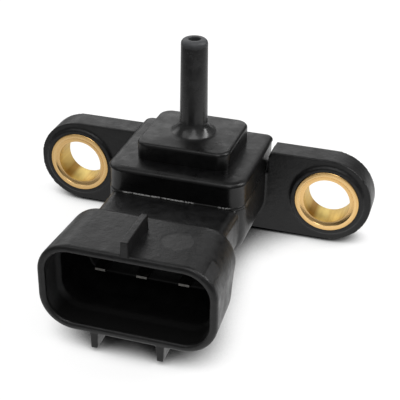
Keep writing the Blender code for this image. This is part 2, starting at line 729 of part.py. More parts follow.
black_resin = material("black_resin", (0.018, 0.018, 0.019), 0.42)
cover_resin = material("cover_resin", (0.020, 0.020, 0.021), 0.38)
brass = material("brass", (0.80, 0.52, 0.16), 0.24, 1.0)
tinned_brass = material("tinned_brass", (0.66, 0.63, 0.58), 0.30, 1.0)
sealant = material("sealant", (0.035, 0.035, 0.037), 0.30)
carrier_resin = material("carrier_resin", (0.05, 0.05, 0.055), 0.50)
glass = material("glass", (0.75, 0.80, 0.78), 0.10)
silicon = material("silicon", (0.16, 0.17, 0.20), 0.18, 0.6)
gold = material("gold", (0.90, 0.68, 0.26), 0.22, 1.0)
ceramic = material("ceramic", (0.62, 0.54, 0.42), 0.45)

connector_case(black_resin)
bush("left_bush", -1, brass)
bush("right_bush", 1, brass)
port_cover(cover_resin)
joint_band("adhesive_seal", BOND_GAP, CASE_TOP - GROOVE_DEPTH + BOND_GAP,
           SEAM_Z - TONGUE_LENGTH - BOND_GAP, sealant)
chip_carrier(carrier_resin)
package_bond(sealant)
block("glass_pedestal", (0.0, ELEMENT_Y), PEDESTAL_SIDE, PEDESTAL_SIDE, PEDESTAL_Z,
      PEDESTAL_Z + PEDESTAL_HEIGHT, glass)
pressure_die(silicon)
for terminal, place in TERMINALS:
    skin(f"{terminal}_terminal", blade_rings(place, 0.0, None), tinned_brass)
    lead(terminal, place, tinned_brass)
    bond_wire(terminal, place, gold)
chip_capacitor("supply", -1, ceramic)
chip_capacitor("signal", 1, ceramic)
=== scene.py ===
"""Dressed model of a manifold absolute pressure sensor, on a pale floor under soft studio light."""
import math

import bmesh
import bpy
from mathutils import Matrix, Vector


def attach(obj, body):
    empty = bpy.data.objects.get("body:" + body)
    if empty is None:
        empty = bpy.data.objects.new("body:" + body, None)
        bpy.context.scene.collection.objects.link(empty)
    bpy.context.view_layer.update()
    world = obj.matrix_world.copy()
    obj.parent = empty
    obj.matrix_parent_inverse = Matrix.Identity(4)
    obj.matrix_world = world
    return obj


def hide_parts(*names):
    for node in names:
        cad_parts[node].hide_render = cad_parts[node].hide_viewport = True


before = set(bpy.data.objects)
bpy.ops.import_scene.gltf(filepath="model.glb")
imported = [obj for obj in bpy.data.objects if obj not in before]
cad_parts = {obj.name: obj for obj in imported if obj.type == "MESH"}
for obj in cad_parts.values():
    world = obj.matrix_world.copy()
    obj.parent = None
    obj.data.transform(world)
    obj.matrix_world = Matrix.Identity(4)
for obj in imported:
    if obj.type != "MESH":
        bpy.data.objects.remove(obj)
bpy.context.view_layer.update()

MM = 0.001

# Sizes of the pieces, mostly as in their solids; places along Y are counted from the port's axis
JOINT_GAP = 0.3 * MM
BUSH_FIT = 0.05 * MM
BLADE_FIT = 0.1 * MM
SOCKET_WIDTH = 24.3 * MM
SOCKET_HEIGHT = 12.9 * MM
SOCKET_TOP_CORNER = 4.6 * MM
SOCKET_FOOT_CORNER = 4.8 * MM
SOCKET_WALL = 1.1 * MM
SOCKET_REACH = 27.9 * MM
SOCKET_BARREL = 7.5 * MM
SOCKET_TAPER = 0.45 * MM
SOCKET_DEPTH = 10.9 * MM
SOCKET_DRAFT = 1.0 * MM
RIM_ROUND = 0.5 * MM
MOUTH_DEPTH = 3.4 * MM
MOUTH_STEP = 0.5 * MM
MOUTH_FRAME = Vector((0.9 * MM, 0.0, 0.9 * MM))
MOUTH_CHAMFER = 0.25 * MM
LEDGE_LENGTH = 0.7 * MM
SHOULDER_SETBACK = 9.6 * MM
SHOULDER_LENGTH = 1.9 * MM
RAMP_SETBACK = 7.4 * MM
RAMP_LENGTH = 7.1 * MM
RAMP_BULGE = 1.5
SHOULDER_SPLIT = 4.0 * MM
KEY_RIB_WIDTH = 1.05 * MM
KEY_RIB_HEIGHT = 2.0 * MM
KEY_RIB_EDGE = 0.12 * MM
GUARD_RIB_WIDTH = 1.05 * MM
GUARD_RIB_HEIGHT = 2.25 * MM
GUARD_RIB_SPACING = 9.1 * MM
GUARD_RIB_SLANT = 0.5            # run of the ribs' rear end over their height
RIB_LENGTH = 7.4 * MM
RIB_SETBACK = 0.1 * MM
RIB_ROOT = 0.6 * MM
RIB_DRAFT = 0.12 * MM
LUG_WIDTH = 4.2 * MM
LUG_HEIGHT = 1.1 * MM
LUG_SETBACK = 3.2 * MM
LUG_LENGTH = 3.0 * MM
LUG_RAMP = 2.0 * MM
LUG_NOSE = 0.15 * MM
MARK_RADIUS = 2.1 * MM
MARK_DEPTH = 0.03 * MM
MARK_OFFSET = 5.0 * MM
MARK_SETBACK = 5.6 * MM
NECK_RISE = 4.55 * MM
NECK_DROP = 4.75 * MM
NECK_TOP_ROUND = 1.4 * MM
NECK_FOOT_ROUND = 5.0 * MM
NECK_INSET = 0.7 * MM            # how much slimmer the neck is than the case on each side
CASE_WIDTH = 20.2 * MM
CASE_FRONT = 9.55 * MM
CASE_BACK = 8.25 * MM
CASE_FRONT_CORNER = 2.7 * MM
CASE_BACK_CORNER = 1.2 * MM
SEAM_RISE = 4.65 * MM
CAVITY_WIDTH = 14.0 * MM
CAVITY_FRONT = 6.6 * MM
CAVITY_BACK = 5.0 * MM
CAVITY_CORNER = 0.8 * MM
CAVITY_DEPTH = 6.2 * MM
GROOVE_INSET = 0.95 * MM
GROOVE_WIDTH = 1.3 * MM
GROOVE_DEPTH = 1.5 * MM
HOLE_SPACING = 39.0 * MM
EAR_RADIUS = 6.45 * MM
EAR_RISE = 1.3 * MM
EAR_THICKNESS = 4.25 * MM
EAR_BACK = 7.2 * MM
BOSS_RADIUS = 5.5 * MM
BOSS_HEIGHT = 0.35 * MM
BOSS_ROUND = 0.3 * MM
NOTCH_WIDTH = 0.35 * MM
NOTCH_DEPTH = 0.6 * MM
BUSH_RADIUS = 4.75 * MM
BUSH_BORE = 3.4 * MM
BUSH_PROUD = 0.1 * MM
BUSH_LEAD = 0.6 * MM
BUSH_LEAD_DEPTH = 0.22 * MM
BUSH_STEP = 0.12 * MM
BUSH_EDGE = 0.15 * MM
COVER_HEIGHT = 3.8 * MM
COVER_POCKET = 1.6 * MM
LIP_HEIGHT = 0.7 * MM
LIP_OVERHANG = 0.15 * MM
LIP_ROUND = 0.6 * MM
LIP_SPREAD = 1.6                 # width of the lid's rounded edge over its height
TONGUE_LENGTH = 1.0 * MM
STEP_WIDTH = 13.6 * MM
STEP_DEPTH = 12.4 * MM
STEP_HEIGHT = 2.55 * MM
STEP_CORNER = 1.9 * MM
STEP_ROUND = 0.5 * MM
FOOT_RADIUS = 3.35 * MM
FOOT_HEIGHT = 1.8 * MM
FOOT_HOLLOW = 1.7
FOOT_FILLET = 0.2 * MM
FOOT_FILLET_HOLLOW = 28
GLOSSY_RISE = 0.2 * MM           # height over the step from which the port's skin is glossier
PORT_ROOT_RADIUS = 2.0 * MM
PORT_TIP_RADIUS = 1.88 * MM
PORT_LENGTH = 14.0 * MM
PORT_ROUND = 0.68 * MM
PORT_BORE = 0.85 * MM
PORT_BORE_LEAD = 0.1 * MM
BLADE_WIDTH = 1.6 * MM
BLADE_THICKNESS = 0.64 * MM
BLADE_PITCH = 5.85 * MM
BLADE_DROP = 0.35 * MM
JOG_START = 3.0 * MM
JOG_LENGTH = 3.2 * MM
PAD_WIDTH = 1.3 * MM
PAD_PITCH = 2.7 * MM
PAD_LENGTH = 2.9 * MM
CARRIER_DEPTH = 6.6 * MM
CARRIER_SETBACK = 0.4 * MM

# Fine edges, and the profile of the adhesive bead in the seam
SKIRT_EDGE = 0.1 * MM
SKIRT_FILLET = 0.04 * MM
BUSH_LEAD_EDGE = 0.06 * MM
BLADE_EDGE = 0.06 * MM
BEAD_FIT = 0.02 * MM
BEAD_ROOT = 0.4 * MM
BEAD_SINK = 0.03 * MM
BEAD_RISE = 0.14 * MM
BEAD_SHOULDER = 0.1 * MM
BEAD_FOOT = 0.08 * MM
BEAD_SLOPE = 0.2 * MM

# Facets and rounding of the dressed pieces
CORNER_STEPS = 20
RING_COUNT = 4 * (CORNER_STEPS + 1)
BUSH_FACETS = 128
RIM_STEPS = 5
SHANK_STEPS = 4                  # sections from the start of the ramp to that of the shoulder
SHOULDER_STEPS = 12
RAMP_STEPS = 6
NECK_END_STEPS = 6
NECK_FOOT_STEPS = 10
BOSS_STEPS = 4
SKIRT_STEPS = 3
LID_STEPS = 8
FLARE_STEPS = 24
PORT_STEPS = 7
BUSH_EDGE_STEPS = 4
KEY_RIB_STEPS = 3
BLADE_STEPS = 2
SMALLEST_CORNER = 0.05 * MM
PAST = 1.0 * MM                  # how far a cutting shape reaches past what it cuts
CASE_SHARP = math.radians(50)    # angles between faces from which an edge is shown sharp
COVER_SHARP = math.radians(38)
BUSH_SHARP = math.radians(40)
VOXEL = 0.15 * MM
SMOOTH_SHARE = 0.5
SMOOTH_PASSES = 2
CASE_FACES = 0.35                # share of the remeshed faces that is kept
SEAM_FIT = 0.05 * MM             # adhesive skin between cover and case where no gap shows

# Places worked out from the sizes
PORT_Y = (SOCKET_REACH - CASE_BACK) / 2
AXIS_Z = GUARD_RIB_HEIGHT + SOCKET_HEIGHT / 2
SOCKET_TOP = AXIS_Z + SOCKET_HEIGHT / 2
BLADE_Z = AXIS_Z - BLADE_DROP
RIM_Y = -SOCKET_REACH
SHOULDER_Y = RIM_Y + SHOULDER_SETBACK
RAMP_Y = RIM_Y + RAMP_SETBACK
FLOOR_Y = RIM_Y + SOCKET_DEPTH
EAR_Z = AXIS_Z + EAR_RISE
EAR_FRONT = EAR_BACK - EAR_THICKNESS + BOSS_HEIGHT
BOSS_FRONT = EAR_BACK - EAR_THICKNESS
SEAM_Z = AXIS_Z + SEAM_RISE
CASE_TOP = SEAM_Z - JOINT_GAP
CAVITY_FLOOR = CASE_TOP - CAVITY_DEPTH
SHELF_Z = BLADE_Z - BLADE_THICKNESS / 2 - BLADE_FIT
LID_Z = SEAM_Z + COVER_HEIGHT
STEP_Z = LID_Z + STEP_HEIGHT
TIP_Z = STEP_Z + PORT_LENGTH
CARRIER_FRONT = CAVITY_BACK - CARRIER_SETBACK - CARRIER_DEPTH
PAD_END = -CAVITY_FRONT + PAD_LENGTH
CASE_CORNERS = (CASE_FRONT_CORNER, CASE_BACK_CORNER, CASE_BACK_CORNER, CASE_FRONT_CORNER)
TO_PLACE = Matrix.Translation((0.0, PORT_Y, 0.0))


# Sections and meshes

def outline(low, high, radii, grow=0.0):
    """Rounded rectangle, counter-clockwise from its right lower corner; radii in the same order."""
    left, bottom = low[0] - grow, low[1] - grow
    right, top = high[0] + grow, high[1] + grow
    sizes = [max(radius + grow, SMALLEST_CORNER) for radius in radii]
    centres = [
        (right - sizes[0], bottom + sizes[0]),
        (right - sizes[1], top - sizes[1]),
        (left + sizes[2], top - sizes[2]),
        (left + sizes[3], bottom + sizes[3]),
    ]
    points = []
    for corner, (centre, size) in enumerate(zip(centres, sizes)):
        for step in range(CORNER_STEPS + 1):
            angle = math.radians(90 * (corner - 1 + step / CORNER_STEPS))
            points.append((centre[0] + size * math.cos(angle), centre[1] + size * math.sin(angle)))
    return points


def circle(radius, centre=(0.0, 0.0), count=RING_COUNT):
    points = []
    for index in range(count):
        angle = math.radians(-90) + 2 * math.pi * (index + 0.5) / count
        points.append((centre[0] + radius * math.cos(angle), centre[1] + radius * math.sin(angle)))
    return points


def rectangle(centre, width, height):
    half_w, half_h = width / 2, height / 2
    corners = ((half_w, -half_h), (half_w, half_h), (-half_w, half_h), (-half_w, -half_h))
    return [(centre[0] + x, centre[1] + z) for x, z in corners]


def flat(points, z):
    return [(x, y, z) for x, y in points]


def upright(points, y):
    return [(x, y, z) for x, z in points]


def quarter_round(size, steps):
    """Inset and travel pairs of a rounded edge, from the full section to its end face."""
    pairs = []
    for step in range(steps + 1):
        angle = math.radians(90 * step / steps)
        pairs.append((size * (1 - math.cos(angle)), size * math.sin(angle)))
    return pairs


def new_piece(name, rings, closed):
    """Mesh through a list of rings, capped at its ends or joined into itself."""
    shape = bmesh.new()
    loops = [[shape.verts.new(point) for point in ring] for ring in rings]
    pairs = list(zip(loops, loops[1:]))
    if closed:
        pairs.append((loops[-1], loops[0]))
    for first, second in pairs:
        for index in range(len(first)):
            after = (index + 1) % len(first)
            shape.faces.new((first[index], first[after], second[after], second[index]))
    if not closed:
        shape.faces.new(loops[0])
        shape.faces.new(loops[-1])
    bmesh.ops.recalc_face_normals(shape, faces=shape.faces)
    mesh = bpy.data.meshes.new(name)
    shape.to_mesh(mesh)
    shape.free()
    mesh.shade_smooth()
    made = bpy.data.objects.new(name, mesh)
    bpy.context.scene.collection.objects.link(made)
    return made


def skin(name, rings):
    return new_piece(name, rings, False)


def closed_ring(name, rings):
    return new_piece(name, rings, True)


def soften(made, width, segments):
    """Round the sharp edges of a piece."""
    bevel = made.modifiers.new("soft_edges", "BEVEL")
    bevel.width = width
    bevel.segments = segments
    bevel.limit_method = "ANGLE"


def combine(target, tool, operation):
    step = target.modifiers.new(tool.name, "BOOLEAN")
    step.operation = operation
    step.solver = "EXACT"
    step.object = tool
    tool.hide_render = True


def settle(made):
    """Apply every modifier, drop the helpers and move the mesh from the port's axis to its place."""
    helpers = [step.object for step in made.modifiers if step.type == "BOOLEAN"]
    graph = bpy.context.evaluated_depsgraph_get()
    mesh = bpy.data.meshes.new_from_object(made.evaluated_get(graph))
    made.modifiers.clear()
    made.data = mesh
    for helper in helpers:
        bpy.data.objects.remove(helper, do_unlink=True)
    mesh.transform(TO_PLACE)
    mesh.shade_smooth()
    return made


# Connector case

def socket_outline(inset):
    half_w = SOCKET_WIDTH / 2
    half_h = SOCKET_HEIGHT / 2
    low = (-half_w, AXIS_Z - half_h)
    high = (half_w, AXIS_Z + half_h)
    radii = [SOCKET_FOOT_CORNER, SOCKET_TOP_CORNER, SOCKET_TOP_CORNER, SOCKET_FOOT_CORNER]
    return outline(low, high, radii, -inset)


def neck_outline(inset=0.0):
    half_w = CASE_WIDTH / 2 - NECK_INSET
    low = (-half_w, AXIS_Z - NECK_DROP)
    high = (half_w, AXIS_Z + NECK_RISE)
    return outline(low, high, [NECK_FOOT_ROUND, NECK_TOP_ROUND, NECK_TOP_ROUND, NECK_FOOT_ROUND], -inset)


def case_outline(grow=0.0):
    half_w = CASE_WIDTH / 2
    return outline((-half_w, -CASE_FRONT), (half_w, CASE_BACK), CASE_CORNERS, grow)


def cavity_outline(front):
    half_w = CAVITY_WIDTH / 2
    return outline((-half_w, front), (half_w, CAVITY_BACK), [CAVITY_CORNER] * 4)


def limited(value):
    """Value kept between 0 and 1."""
    return min(max(value, 0.0), 1.0)


def shoulder_section(y):
    """Section on the way from the socket to the neck: an early shoulder above, a long ramp below."""
    narrow = 1 - 2 * SOCKET_TAPER / SOCKET_WIDTH * limited((y - RIM_Y) / SHOULDER_SETBACK)
    section = []
    for (full_x, z), (neck_x, neck_z) in zip(socket_outline(0.0), neck_outline()):
        x = full_x * narrow
        upper = limited((z - AXIS_Z) / SHOULDER_SPLIT + 0.5)
        shoulder = limited((y - SHOULDER_Y) / SHOULDER_LENGTH)
        ramp = limited((y - RAMP_Y) / RAMP_LENGTH)
        share = upper * (1 - math.sqrt(1 - shoulder * shoulder)) + (1 - upper) * ramp ** RAMP_BULGE
        section.append((x + (neck_x - x) * share, z + (neck_z - z) * share))
    return section


def socket_and_neck():
    rings = []
    for inset, travel in reversed(quarter_round(RIM_ROUND, RIM_STEPS)):
        rings.append(upright(socket_outline(inset), RIM_Y + RIM_ROUND - travel))
    shoulder_end = SHOULDER_Y + SHOULDER_LENGTH
    ramp_end = RAMP_Y + RAMP_LENGTH
    stations = [RAMP_Y + (SHOULDER_Y - RAMP_Y) * step / SHANK_STEPS for step in range(SHANK_STEPS)]
    for step in range(SHOULDER_STEPS + 1):
        share = math.sin(math.radians(90 * step / SHOULDER_STEPS))
        stations.append(SHOULDER_Y + SHOULDER_LENGTH * share)
    for step in range(1, RAMP_STEPS + 1):
        stations.append(shoulder_end + (ramp_end - shoulder_end) * step / RAMP_STEPS)
    rings.extend(upright(shoulder_section(y), y) for y in stations)
    for inset, travel in quarter_round(CASE_BACK_CORNER, NECK_END_STEPS):
        rings.append(upright(neck_outline(inset), CASE_BACK - CASE_BACK_CORNER + travel))
    return skin("case_shell", rings)


def rib(name, x, width, foot_z, top_z, slant):
    """Rib along the socket from its root to its free edge, tapered, its rear end leaning by slant."""
    front = RIM_Y + RIB_SETBACK
    slope = abs(top_z - foot_z) * slant
    corners = [
        (x - width / 2 - RIB_DRAFT / 2, foot_z),
        (x + width / 2 + RIB_DRAFT / 2, foot_z),
        (x + width / 2 - RIB_DRAFT / 2, top_z),
        (x - width / 2 + RIB_DRAFT / 2, top_z),
    ]
    first = upright(corners, front)
    last = [(px, front + RIB_LENGTH - (slope if pz == top_z else 0.0), pz) for px, pz in corners]
    return skin(name, [first, last])


def lock_lug():
    root_z = GUARD_RIB_HEIGHT + RIB_ROOT
    low_z = GUARD_RIB_HEIGHT - LUG_HEIGHT
    front = RIM_Y + LUG_SETBACK
    side = [
        (front, root_z),
        (front, GUARD_RIB_HEIGHT - LUG_NOSE),
        (front + LUG_RAMP, low_z),
        (front + LUG_LENGTH, low_z),
        (front + LUG_LENGTH, root_z),
    ]
    return skin("lock_lug", [[(x, y, z) for y, z in side] for x in (-LUG_WIDTH / 2, LUG_WIDTH / 2)])


def socket_space():
    mouth = SOCKET_WALL
    well = SOCKET_WALL + MOUTH_STEP
    rings = [
        upright(socket_outline(mouth - MOUTH_CHAMFER - PAST), RIM_Y - PAST),
        upright(socket_outline(mouth), RIM_Y + MOUTH_CHAMFER),
        upright(socket_outline(mouth), RIM_Y + MOUTH_DEPTH),
        upright(socket_outline(well), RIM_Y + MOUTH_DEPTH + LEDGE_LENGTH),
        upright(socket_outline(well), RIM_Y + SOCKET_BARREL),
        upright(socket_outline(well + SOCKET_DRAFT), FLOOR_Y),
    ]
    return skin("socket_space", rings)


def notch():
    inner = CASE_WIDTH / 2
    outer = inner + JOINT_GAP + NOTCH_WIDTH
    top = EAR_Z + EAR_RADIUS
    middle = ((inner + outer) / 2, top - NOTCH_DEPTH / 2 + PAST / 2)
    section = rectangle(middle, outer - inner, NOTCH_DEPTH + PAST)
    return skin("notch", [upright(section, EAR_FRONT - PAST), upright(section, EAR_BACK + PAST)])


def cavity(name, front, floor_z):
    section = cavity_outline(front)
    return skin(name, [flat(section, floor_z), flat(section, CASE_TOP + PAST)])


def joint_groove():
    outer = case_outline(-GROOVE_INSET)
    inner = case_outline(-GROOVE_INSET - GROOVE_WIDTH)
    low, high = CASE_TOP - GROOVE_DEPTH, CASE_TOP + PAST
    rings = [flat(outer, low), flat(outer, high), flat(inner, high), flat(inner, low)]
    return closed_ring("joint_groove", rings)


def blade_channel(side):
    jog_y = FLOOR_Y + JOG_START
    stations = [
        (FLOOR_Y - PAST, side * BLADE_PITCH, BLADE_WIDTH),
        (jog_y, side * BLADE_PITCH, BLADE_WIDTH),
        (jog_y + JOG_LENGTH, side * PAD_PITCH, PAD_WIDTH),
        (PAD_END + BLADE_FIT, side * PAD_PITCH, PAD_WIDTH),
    ]
    thickness = BLADE_THICKNESS + 2 * BLADE_FIT
    rings = []
    for y, x, width in stations:
        rings.append(upright(rectangle((x, BLADE_Z), width + 2 * BLADE_FIT, thickness), y))
    return skin(f"channel_{side}", rings)


def case_body():
    """Square cup under the seam, with a large round along its foot."""
    foot_z = AXIS_Z - NECK_DROP + NECK_FOOT_ROUND
    rings = []
    for inset, travel in reversed(quarter_round(NECK_FOOT_ROUND, NECK_FOOT_STEPS)):
        half = CASE_WIDTH / 2 - inset
        section = outline((-half, -CASE_FRONT), (half, CASE_BACK), CASE_CORNERS)
        rings.append(flat(section, foot_z - travel))
    rings.append(flat(case_outline(), CASE_TOP))
    return skin("case_body", rings)


def ear_bar():
    reach = HOLE_SPACING / 2 + EAR_RADIUS
    section = outline((-reach, EAR_Z - EAR_RADIUS), (reach, EAR_Z + EAR_RADIUS), [EAR_RADIUS] * 4)
    return skin("ear_bar", [upright(section, EAR_FRONT), upright(section, EAR_BACK)])


def boss(side):
    centre = (side * HOLE_SPACING / 2, EAR_Z)
    rings = [upright(circle(BOSS_RADIUS, centre), (EAR_FRONT + EAR_BACK) / 2)]
    for inset, travel in quarter_round(BOSS_ROUND, BOSS_STEPS):
        rings.append(upright(circle(BOSS_RADIUS - inset, centre), BOSS_FRONT + BOSS_ROUND - travel))
    return skin(f"boss_{side}", rings)


def guard_rib(side):
    x = side * GUARD_RIB_SPACING / 2
    root_z = GUARD_RIB_HEIGHT + RIB_ROOT
    return rib(f"guard_rib_{side}", x, GUARD_RIB_WIDTH, root_z, 0.0, GUARD_RIB_SLANT)


def key_rib():
    made = rib("key_rib", 0.0, KEY_RIB_WIDTH, SOCKET_TOP - RIB_ROOT, SOCKET_TOP + KEY_RIB_HEIGHT, 0.0)
    soften(made, KEY_RIB_EDGE, KEY_RIB_STEPS)
    return made


def cover_bay():
    low = (-CASE_WIDTH / 2 - SEAM_FIT, -CASE_FRONT - SEAM_FIT)
    high = (CASE_WIDTH / 2 + JOINT_GAP, CASE_BACK + JOINT_GAP)
    bay = outline(low, high, CASE_CORNERS)
    return skin("cover_bay", [flat(bay, CASE_TOP), flat(bay, LID_Z)])


def moulding_mark():
    spot = circle(MARK_RADIUS, (MARK_OFFSET, RIM_Y + MARK_SETBACK))
    return skin("moulding_mark", [flat(spot, SOCKET_TOP - MARK_DEPTH), flat(spot, SOCKET_TOP + PAST)])


def bush_hole(side):
    hole = circle(BUSH_RADIUS + BUSH_FIT, (side * HOLE_SPACING / 2, EAR_Z), BUSH_FACETS)
    return skin(f"bush_hole_{side}", [upright(hole, BOSS_FRONT - PAST), upright(hole, EAR_BACK + PAST)])


def case_shell():
    """The one-piece moulding, with the soft edges and fillets that a mould leaves."""
    case = socket_and_neck()
    adding = [case_body(), ear_bar(), boss(-1), boss(1), guard_rib(-1), guard_rib(1), lock_lug()]
    for tool in adding:
        combine(case, tool, "UNION")
    cutting = [
        cover_bay(),
        notch(),
        cavity("carrier_space", CARRIER_FRONT - CARRIER_SETBACK, CAVITY_FLOOR),
        cavity("pad_space", -CAVITY_FRONT, SHELF_Z),
        joint_groove(),
        socket_space(),
        blade_channel(-1),
        blade_channel(0),
        blade_channel(1),
        moulding_mark(),
    ]
    for tool in cutting:
        combine(case, tool, "DIFFERENCE")
    remesh = case.modifiers.new("even_mesh", "REMESH")
    remesh.mode = "VOXEL"
    remesh.voxel_size = VOXEL
    smooth = case.modifiers.new("soft_edges", "SMOOTH")
    smooth.factor = SMOOTH_SHARE
    smooth.iterations = SMOOTH_PASSES
    fewer = case.modifiers.new("fewer_faces", "DECIMATE")
    fewer.ratio = CASE_FACES
    # What has to stay crisp comes after the smoothing
    for side in (-1, 1):
        combine(case, bush_hole(side), "DIFFERENCE")
    combine(case, key_rib(), "UNION")
    settle(case)
    case.data.set_sharp_from_angle(angle=CASE_SHARP)
    case.modifiers.new("even_shading", "WEIGHTED_NORMAL").keep_sharp = True
    return case


# Port cover, bushes and seal

def step_outline(inset):
    half_w, half_d = STEP_WIDTH / 2, STEP_DEPTH / 2
    return outline((-half_w, -half_d), (half_w, half_d), [STEP_CORNER] * 4, -inset)


def lid_rings():
    """Wall over the seam, the lid plate with its lip and rounded edge, and the step on it."""
    wall = -LIP_OVERHANG
    under = LID_Z - LIP_HEIGHT
    rings = [
        flat(case_outline(wall - SKIRT_EDGE), SEAM_Z),
        flat(case_outline(wall), SEAM_Z + SKIRT_EDGE),
        flat(case_outline(wall), under - SKIRT_EDGE),
        flat(case_outline(wall + SKIRT_FILLET), under),
    ]
    for inset, travel in reversed(quarter_round(SKIRT_EDGE, SKIRT_STEPS)):
        rings.append(flat(case_outline(-inset), under + SKIRT_EDGE - travel))
    for inset, travel in quarter_round(LIP_ROUND, LID_STEPS):
        rings.append(flat(case_outline(-inset * LIP_SPREAD), LID_Z - LIP_ROUND + travel))
    rings.append(flat(step_outline(0.0), LID_Z))
    for inset, travel in quarter_round(STEP_ROUND, LID_STEPS):
        rings.append(flat(step_outline(inset), STEP_Z - STEP_ROUND + travel))
    return rings


def port_rings():
    """Hollow flare at the port's foot, the port with its rounded tip, and the bore back down."""
    rings = []
    for place in range(FLARE_STEPS + 1):
        share = (place / FLARE_STEPS) ** 2
        radius = PORT_ROOT_RADIUS + (FOOT_RADIUS - PORT_ROOT_RADIUS) * (1 - share) ** FOOT_HOLLOW
        radius += FOOT_FILLET * (1 - share) ** FOOT_FILLET_HOLLOW
        rings.append(flat(circle(radius), STEP_Z + FOOT_HEIGHT * share))
    for inset, travel in quarter_round(PORT_ROUND, PORT_STEPS):
        rings.append(flat(circle(PORT_TIP_RADIUS - inset), TIP_Z - PORT_ROUND + travel))
    rings.append(flat(circle(PORT_BORE + PORT_BORE_LEAD), TIP_Z))
    rings.append(flat(circle(PORT_BORE), TIP_Z - PORT_BORE_LEAD))
    rings.append(flat(circle(PORT_BORE), SEAM_Z + COVER_POCKET))
    return rings


def cover_shell():
    """Lid, step and hose port as one stack of sections that turns in through the bore and the pocket."""
    pocket = cavity_outline(-CAVITY_FRONT)
    inner = case_outline(-GROOVE_INSET - GROOVE_WIDTH + JOINT_GAP)
    outer = case_outline(-GROOVE_INSET - JOINT_GAP)
    tongue_z = SEAM_Z - TONGUE_LENGTH
    rings = lid_rings() + port_rings()
    rings += [flat(pocket, SEAM_Z + COVER_POCKET), flat(pocket, SEAM_Z)]
    rings += [flat(inner, SEAM_Z), flat(inner, tongue_z), flat(outer, tongue_z), flat(outer, SEAM_Z)]
    cover = closed_ring("cover_shell", rings)
    cover.data.transform(TO_PLACE)
    cover.data.set_sharp_from_angle(angle=COVER_SHARP)
    return cover


def bush_shell(name, side):
    """Turned bush with a small radius on every edge and a stepped lead into its bore."""
    front = BOSS_FRONT - BUSH_PROUD
    back = EAR_BACK + BUSH_PROUD
    half = [
        (BUSH_BORE, BUSH_LEAD_DEPTH + BUSH_LEAD_EDGE),
        (BUSH_BORE + BUSH_LEAD_EDGE / 2, BUSH_LEAD_DEPTH),
        (BUSH_BORE + BUSH_LEAD - BUSH_LEAD_EDGE, BUSH_STEP),
        (BUSH_BORE + BUSH_LEAD + BUSH_LEAD_EDGE, 0.0),
    ]
    for inset, travel in reversed(quarter_round(BUSH_EDGE, BUSH_EDGE_STEPS)):
        half.append((BUSH_RADIUS - inset, BUSH_EDGE - travel))
    profile = [(radius, front + depth) for radius, depth in half]
    profile += [(radius, back - depth) for radius, depth in reversed(half)]
    centre = (side * HOLE_SPACING / 2, EAR_Z)
    bush = closed_ring(name, [upright(circle(radius, centre, BUSH_FACETS), y) for radius, y in profile])
    bush.data.transform(TO_PLACE)
    bush.data.set_sharp_from_angle(angle=BUSH_SHARP)
    return bush


def seam_bead():
    """Cured adhesive that fills the joint between cover and case flush with both."""
    wall = -LIP_OVERHANG
    profile = [
        (wall - BEAD_ROOT, CASE_TOP + BEAD_FIT),
        (wall - BEAD_ROOT, SEAM_Z - BEAD_FIT),
        (wall - BEAD_SINK, SEAM_Z - BEAD_FIT),
        (wall - BEAD_SINK, SEAM_Z + BEAD_RISE),
        (wall + BEAD_SINK, SEAM_Z + BEAD_SHOULDER),
        (wall + BEAD_FOOT, SEAM_Z - BEAD_FIT),
        (-BEAD_SINK, SEAM_Z - BEAD_SLOPE),
        (-BEAD_FIT, CASE_TOP + BEAD_FIT),
    ]
    bead = closed_ring("seam_bead", [flat(case_outline(grow), z) for grow, z in profile])
    bead.data.transform(TO_PLACE)
    return bead


# Shader graphs; a span names the two levels and the two values between which one turns into the other

def feed(tree, value, socket):
    """Link an output to a socket, or set the socket where the value is a plain one."""
    if isinstance(value, bpy.types.NodeSocket):
        tree.links.new(value, socket)
    else:
        socket.default_value = value


def graph_of(name):
    made = bpy.data.materials.new(name)
    made.use_nodes = True
    tree = made.node_tree
    return made, tree, tree.nodes["Principled BSDF"]


def place_of(tree):
    return tree.nodes.new("ShaderNodeTexCoord").outputs["Object"]


def axes(tree, vector):
    node = tree.nodes.new("ShaderNodeSeparateXYZ")
    tree.links.new(vector, node.inputs["Vector"])
    return node.outputs


def vector_of(tree, x, y):
    node = tree.nodes.new("ShaderNodeCombineXYZ")
    tree.links.new(x, node.inputs["X"])
    tree.links.new(y, node.inputs["Y"])
    return node.outputs["Vector"]


def distance_to(tree, place, point):
    node = tree.nodes.new("ShaderNodeVectorMath")
    node.operation = "DISTANCE"
    tree.links.new(place, node.inputs[0])
    node.inputs[1].default_value = point
    return node.outputs["Value"]


def noise(tree, source, scale, detail, roughness):
    node = tree.nodes.new("ShaderNodeTexNoise")
    node.inputs["Scale"].default_value = scale
    node.inputs["Detail"].default_value = detail
    node.inputs["Roughness"].default_value = roughness
    tree.links.new(source, node.inputs["Vector"])
    return node.outputs["Fac"]


def spread(tree, value, low, high, from_low=0.3, from_high=0.7):
    node = tree.nodes.new("ShaderNodeMapRange")
    node.inputs["From Min"].default_value = from_low
    node.inputs["From Max"].default_value = from_high
    node.inputs["To Min"].default_value = low
    node.inputs["To Max"].default_value = high
    tree.links.new(value, node.inputs["Value"])
    return node.outputs["Result"]


def arithmetic(tree, operation, first, second=0.0):
    node = tree.nodes.new("ShaderNodeMath")
    node.operation = operation
    feed(tree, first, node.inputs[0])
    feed(tree, second, node.inputs[1])
    return node.outputs["Value"]


def product(tree, first, second):
    return arithmetic(tree, "MULTIPLY", first, second)


def mix(tree, kind, share, first, second):
    """Blend of two numbers, of kind FLOAT, or of two colours, of kind RGBA."""
    node = tree.nodes.new("ShaderNodeMix")
    node.data_type = kind
    feed(tree, share, node.inputs["Factor"])
    feed(tree, first, node.inputs["A"])
    feed(tree, second, node.inputs["B"])
    return node.outputs["Result"]


def tint(tree, share, first, second):
    return mix(tree, "RGBA", share, (*first, 1.0), (*second, 1.0))


